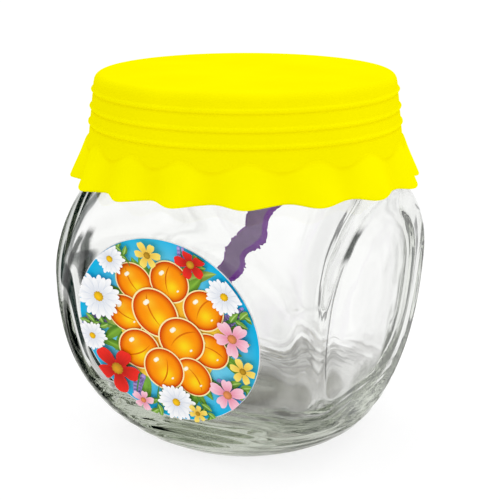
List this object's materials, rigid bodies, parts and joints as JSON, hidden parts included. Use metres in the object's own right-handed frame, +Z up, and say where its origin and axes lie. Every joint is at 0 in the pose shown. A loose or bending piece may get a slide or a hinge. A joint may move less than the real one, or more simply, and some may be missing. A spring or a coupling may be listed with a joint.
{
  "type": "glass jar with spoon",
  "caption": "Round-cornered clear glass storage jar with flat cheeks, a yellow lid moulded like a tied cloth cover, a round printed label and a spoon inside.",
  "frame": {"origin": "middle of the base on the jar's axis, at the height of the surface it stands on", "axes": "+Z up along the jar's axis, -Y out of the cheek that carries the label, +X to the right of the label"},
  "size_m": [0.0986, 0.0986, 0.1063],
  "materials": {
    "clear_glass": "clear pressed glass, polished, very slightly green",
    "yellow_plastic": "soft semi-gloss moulded plastic",
    "printed_label": "printed satin sticker",
    "purple_plastic": "semi-gloss moulded plastic"
  },
  "bodies": {
    "root": {"jar": "clear_glass", "lid": "yellow_plastic", "label": "printed_label", "spoon": "purple_plastic"}
  },
  "joints": []
}
